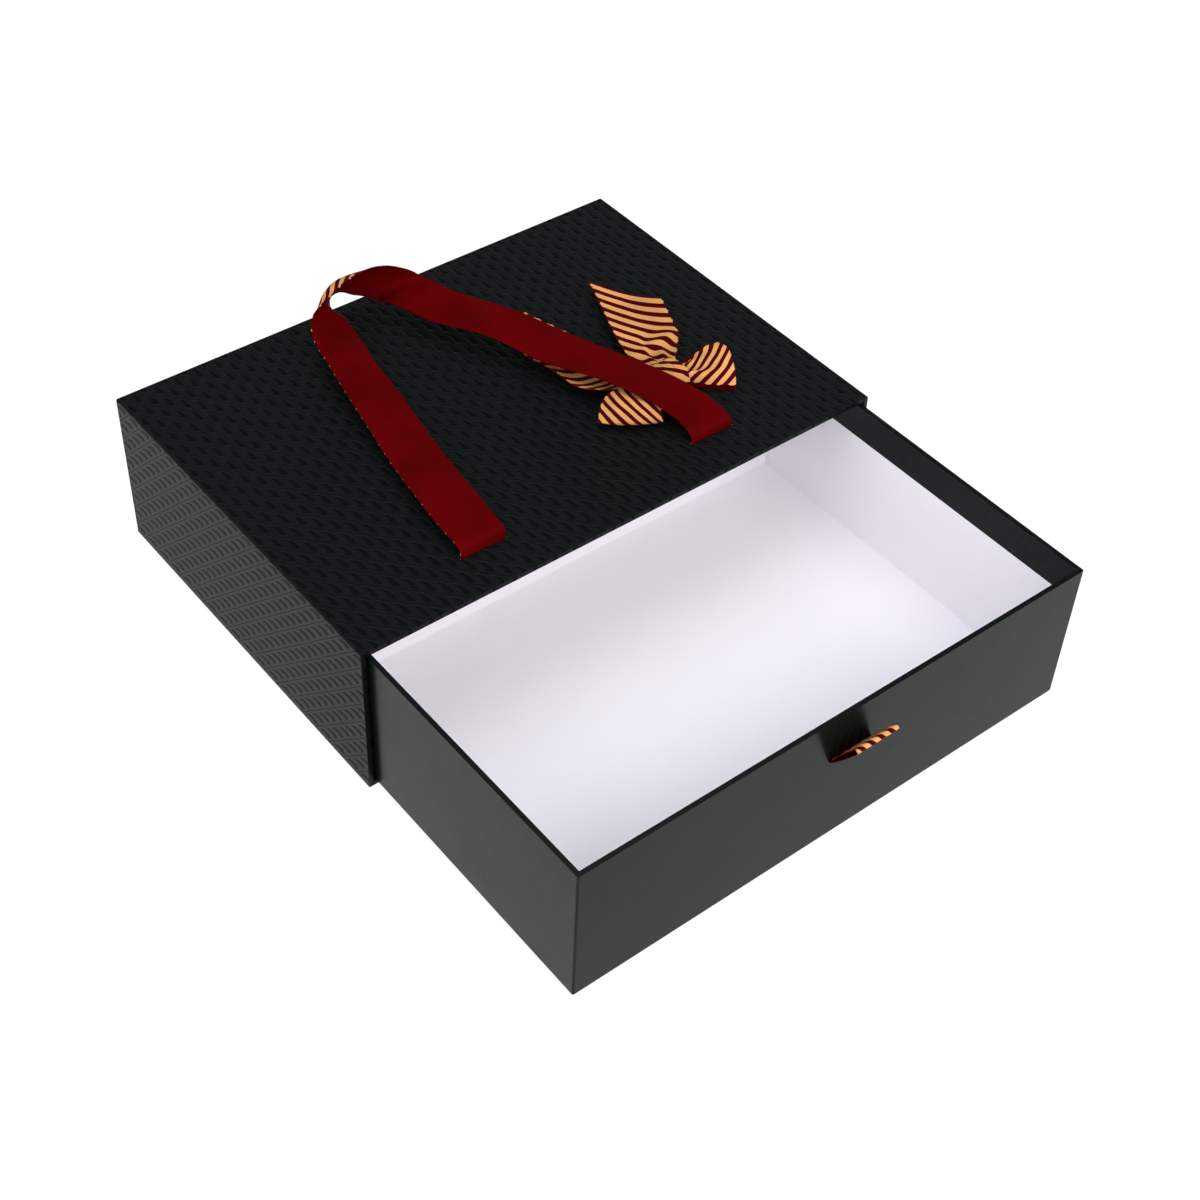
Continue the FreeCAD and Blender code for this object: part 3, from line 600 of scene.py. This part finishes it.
def left_loop():
    """The left loop: crowned on top, folded at its slanting end, and flat below."""
    net = [
        [(-3, -6.5, 2.8), (-3.8, -3.5, 7.2), (-4.5, -1, 3.8), (-5, 1.5, 7.2), (-5.5, 4.5, 3)],
        [(-11, -12.5, 4.4), (-14, -8, 8), (-16, -4, 5.4), (-17.5, 0, 8), (-18.5, 4.5, 5)],
        [(-20, -19, 6.2), (-24, -13, 8), (-28, -7.5, 8), (-31, -2, 8), (-33.5, 3.8, 7)],
        [(-25, -21.5, 7.6), (-31.5, -16, 9.4), (-37, -11, 9.6), (-41, -5.5, 9.2),
         (-43.5, 0.3, 8)],
        [(-27, -24.4, 5.8), (-34, -20.5, 7), (-40.5, -16, 7.2), (-46, -10.8, 6.8),
         (-50.5, -5, 6.2)],
        [(-26.8, -25.3, 3.4), (-34, -22.5, 4), (-41.5, -18, 4.2), (-48, -13, 4), (-53, -7.6, 3.6)],
        [(-25.5, -23.5, 1.3), (-32, -20, 1.1), (-39, -15.5, 1), (-45.5, -11, 1.1),
         (-50, -5.5, 1.3)],
        [(-15, -15, 1.2), (-18, -11, 1), (-21, -6.5, 1), (-24, -2, 1), (-26.5, 2.5, 1.3)],
        [(-3, -5, 1.9), (-3.5, -3, 1.7), (-4, -1, 1.9), (-4.5, 1, 1.7), (-5, 3.5, 1.9)],
    ]
    piece = woven("bow_loop_left", "bow", on_knot(net), (loop_stripes, maroon), ends=(7, -7),
                  gather=GATHER)
    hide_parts("bow_loops")


def right_loop():
    """The right loop: it leans, with its back edge high and its inside showing there."""
    net = [
        [(1, 3, 3.6), (1.5, 0.5, 7.4), (1.5, -1.5, 3.8), (1.5, -3.5, 7.4), (1, -6.5, 2.8)],
        [(8.5, -0.2, 6.4), (8.2, -3, 9.2), (7.8, -6, 5.8), (7, -9, 8), (5.8, -12.2, 3.4)],
        [(15.5, 0.8, 9), (15, -4, 10.4), (14, -9, 8.2), (12.6, -14, 8.2), (10.5, -18.8, 3.8)],
        [(22, -0.2, 11.8), (22, -6, 11.6), (20.8, -12, 10), (18.5, -17.5, 7.6),
         (15.8, -23, 4.2)],
        [(26.5, -2.3, 12.8), (28.6, -7, 12.2), (26.6, -13.5, 10), (23.4, -20, 7),
         (18.8, -26.4, 3.8)],
        [(26.8, 0, 10.5), (27.6, -5.5, 9.2), (25.6, -12.5, 7.2), (22.5, -19.5, 4.4),
         (18, -24.8, 1.5)],
        [(24.5, 3.5, 7), (24, -3.5, 5.4), (22, -10.5, 4), (19, -17, 2.4), (14.6, -21.6, 1.2)],
        [(15.5, 5.5, 4), (15, -0.5, 3), (13.5, -6.5, 2.2), (11.5, -12, 1.5), (8.6, -15.8, 1.1)],
        [(1, 2.5, 2.4), (1.2, 0.5, 2), (1.3, -1.5, 2.2), (1.2, -3.5, 1.9), (1, -6, 1.9)],
    ]
    piece = woven("bow_loop_right", "bow", on_knot(net), (loop_stripes, maroon),
                  gather=GATHER)


def knot():
    """The knot: the ribbon pinched into two ridges and wrapped round the bow's middle."""
    ring = [(-8.6, 3.6), (-6.6, 7.2), (-2, 8.2), (3, 8), (8, 6.6), (10, 3.8), (7.5, 1.5),
            (0, 1.4), (-6, 1.5), (-8.6, 3.6)]
    ridge = (0.0, 0.7, -0.2, 0.8, -0.2, 0.7, 0.0)
    net = []
    for y, z in ring:
        out = Vector((0, y - 0.5, z - 4.4)).normalized()
        net.append([Vector((-7 + 2 * k, y, z)) + out * ridge[k] for k in range(7)])
    piece = woven("bow_knot_band", "bow", on_knot(net), (wide_stripes, maroon), closed=True,
                  wide=14.0)
    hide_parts("bow_knot")


def pull_loop():
    """The drawer's pull: a ribbon doubled through the slit, its print outside."""
    rise = math.radians(PULL_RISE)
    ahead = Vector((0, -math.cos(rise), math.sin(rise)))
    side = Vector((0, math.sin(rise), math.cos(rise)))
    root = Vector((PULL_X, FRONT_Y, PULL_Z))
    half = HANDLE_WIDTH / 2
    # upper layer: glued flap inside the front wall, through the slit, out along the loop
    inside = [(2.75, -17), (2.75, -2), (2.6, 0.0), (2.1, 0.24), (0.6, 0.24)]
    outline = [(1.2, 0.28), (5, 0.7), (12, 1.1), (PULL_REACH - 3, 1.15), (PULL_REACH, 1.05)]
    bend = [(PULL_REACH + 0.8, 0.7), (PULL_REACH + 1.1, 0)]
    path = outline + bend + [(a, -b) for a, b in reversed(outline + bend[:1])]
    spots = [Vector((PULL_X, FRONT_Y + y, PULL_Z + z)) for y, z in inside]
    spots += [root + ahead * a + side * b for a, b in path]
    spots += [Vector((PULL_X, FRONT_Y + y, PULL_Z - 0.24)) for y in (0.6, 2.0)]
    net = [[spot + Vector((x, 0, 0)) for x in (half, 0, -half)] for spot in spots]
    piece = woven("pull_ribbon_cloth", "tray", net, (stripes, maroon))
    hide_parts("pull_ribbon")


# --- Making --------------------------------------------------------------------------------------

def dress(nodes, material):
    """Gives CAD nodes their material."""
    for name in nodes:
        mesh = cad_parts[name].data
        mesh.materials.clear()
        mesh.materials.append(material)


camera()
studio()

maroon = grosgrain("maroon_grosgrain")
stripes = grosgrain("striped_grosgrain", HANDLE_WIDTH, 4.4, 40)
wide_stripes = grosgrain("wide_striped_grosgrain", BOW_WIDTH, 6.2, 49)
loop_stripes = grosgrain("gathered_striped_grosgrain", BOW_WIDTH * GATHER, 6.2, 49)
dress(["sleeve_wrap"], embossed_black_paper())
dress(["tray_wrap"], coated_black_paper())
dress(["tray_wall_lining", "tray_floor_lining", "pull_patch"],
      plain_paper("white_lining_paper", "f1f0f5", "eeedf3", 0.75, 0.556))
dress(["sleeve_lining", "handle_patch_left", "handle_patch_right", "sleeve_base_sheet"],
      plain_paper("black_lining_paper", "1c1c1e", "161618", 0.7, 0.556))
dress(["sleeve_corner_tapes", "tray_corner_tapes"],
      plain_paper("gummed_kraft_tape", "b08a5c", "a67f52", 0.6, 0.714))
dress([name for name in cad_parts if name.endswith("_board")], greyboard())
dress(["bow_glue_pad"], hot_glue())

handle()
handle_end(-1, "left")
handle_end(1, "right")
long_tail()
short_tail()
left_loop()
right_loop()
knot()
pull_loop()
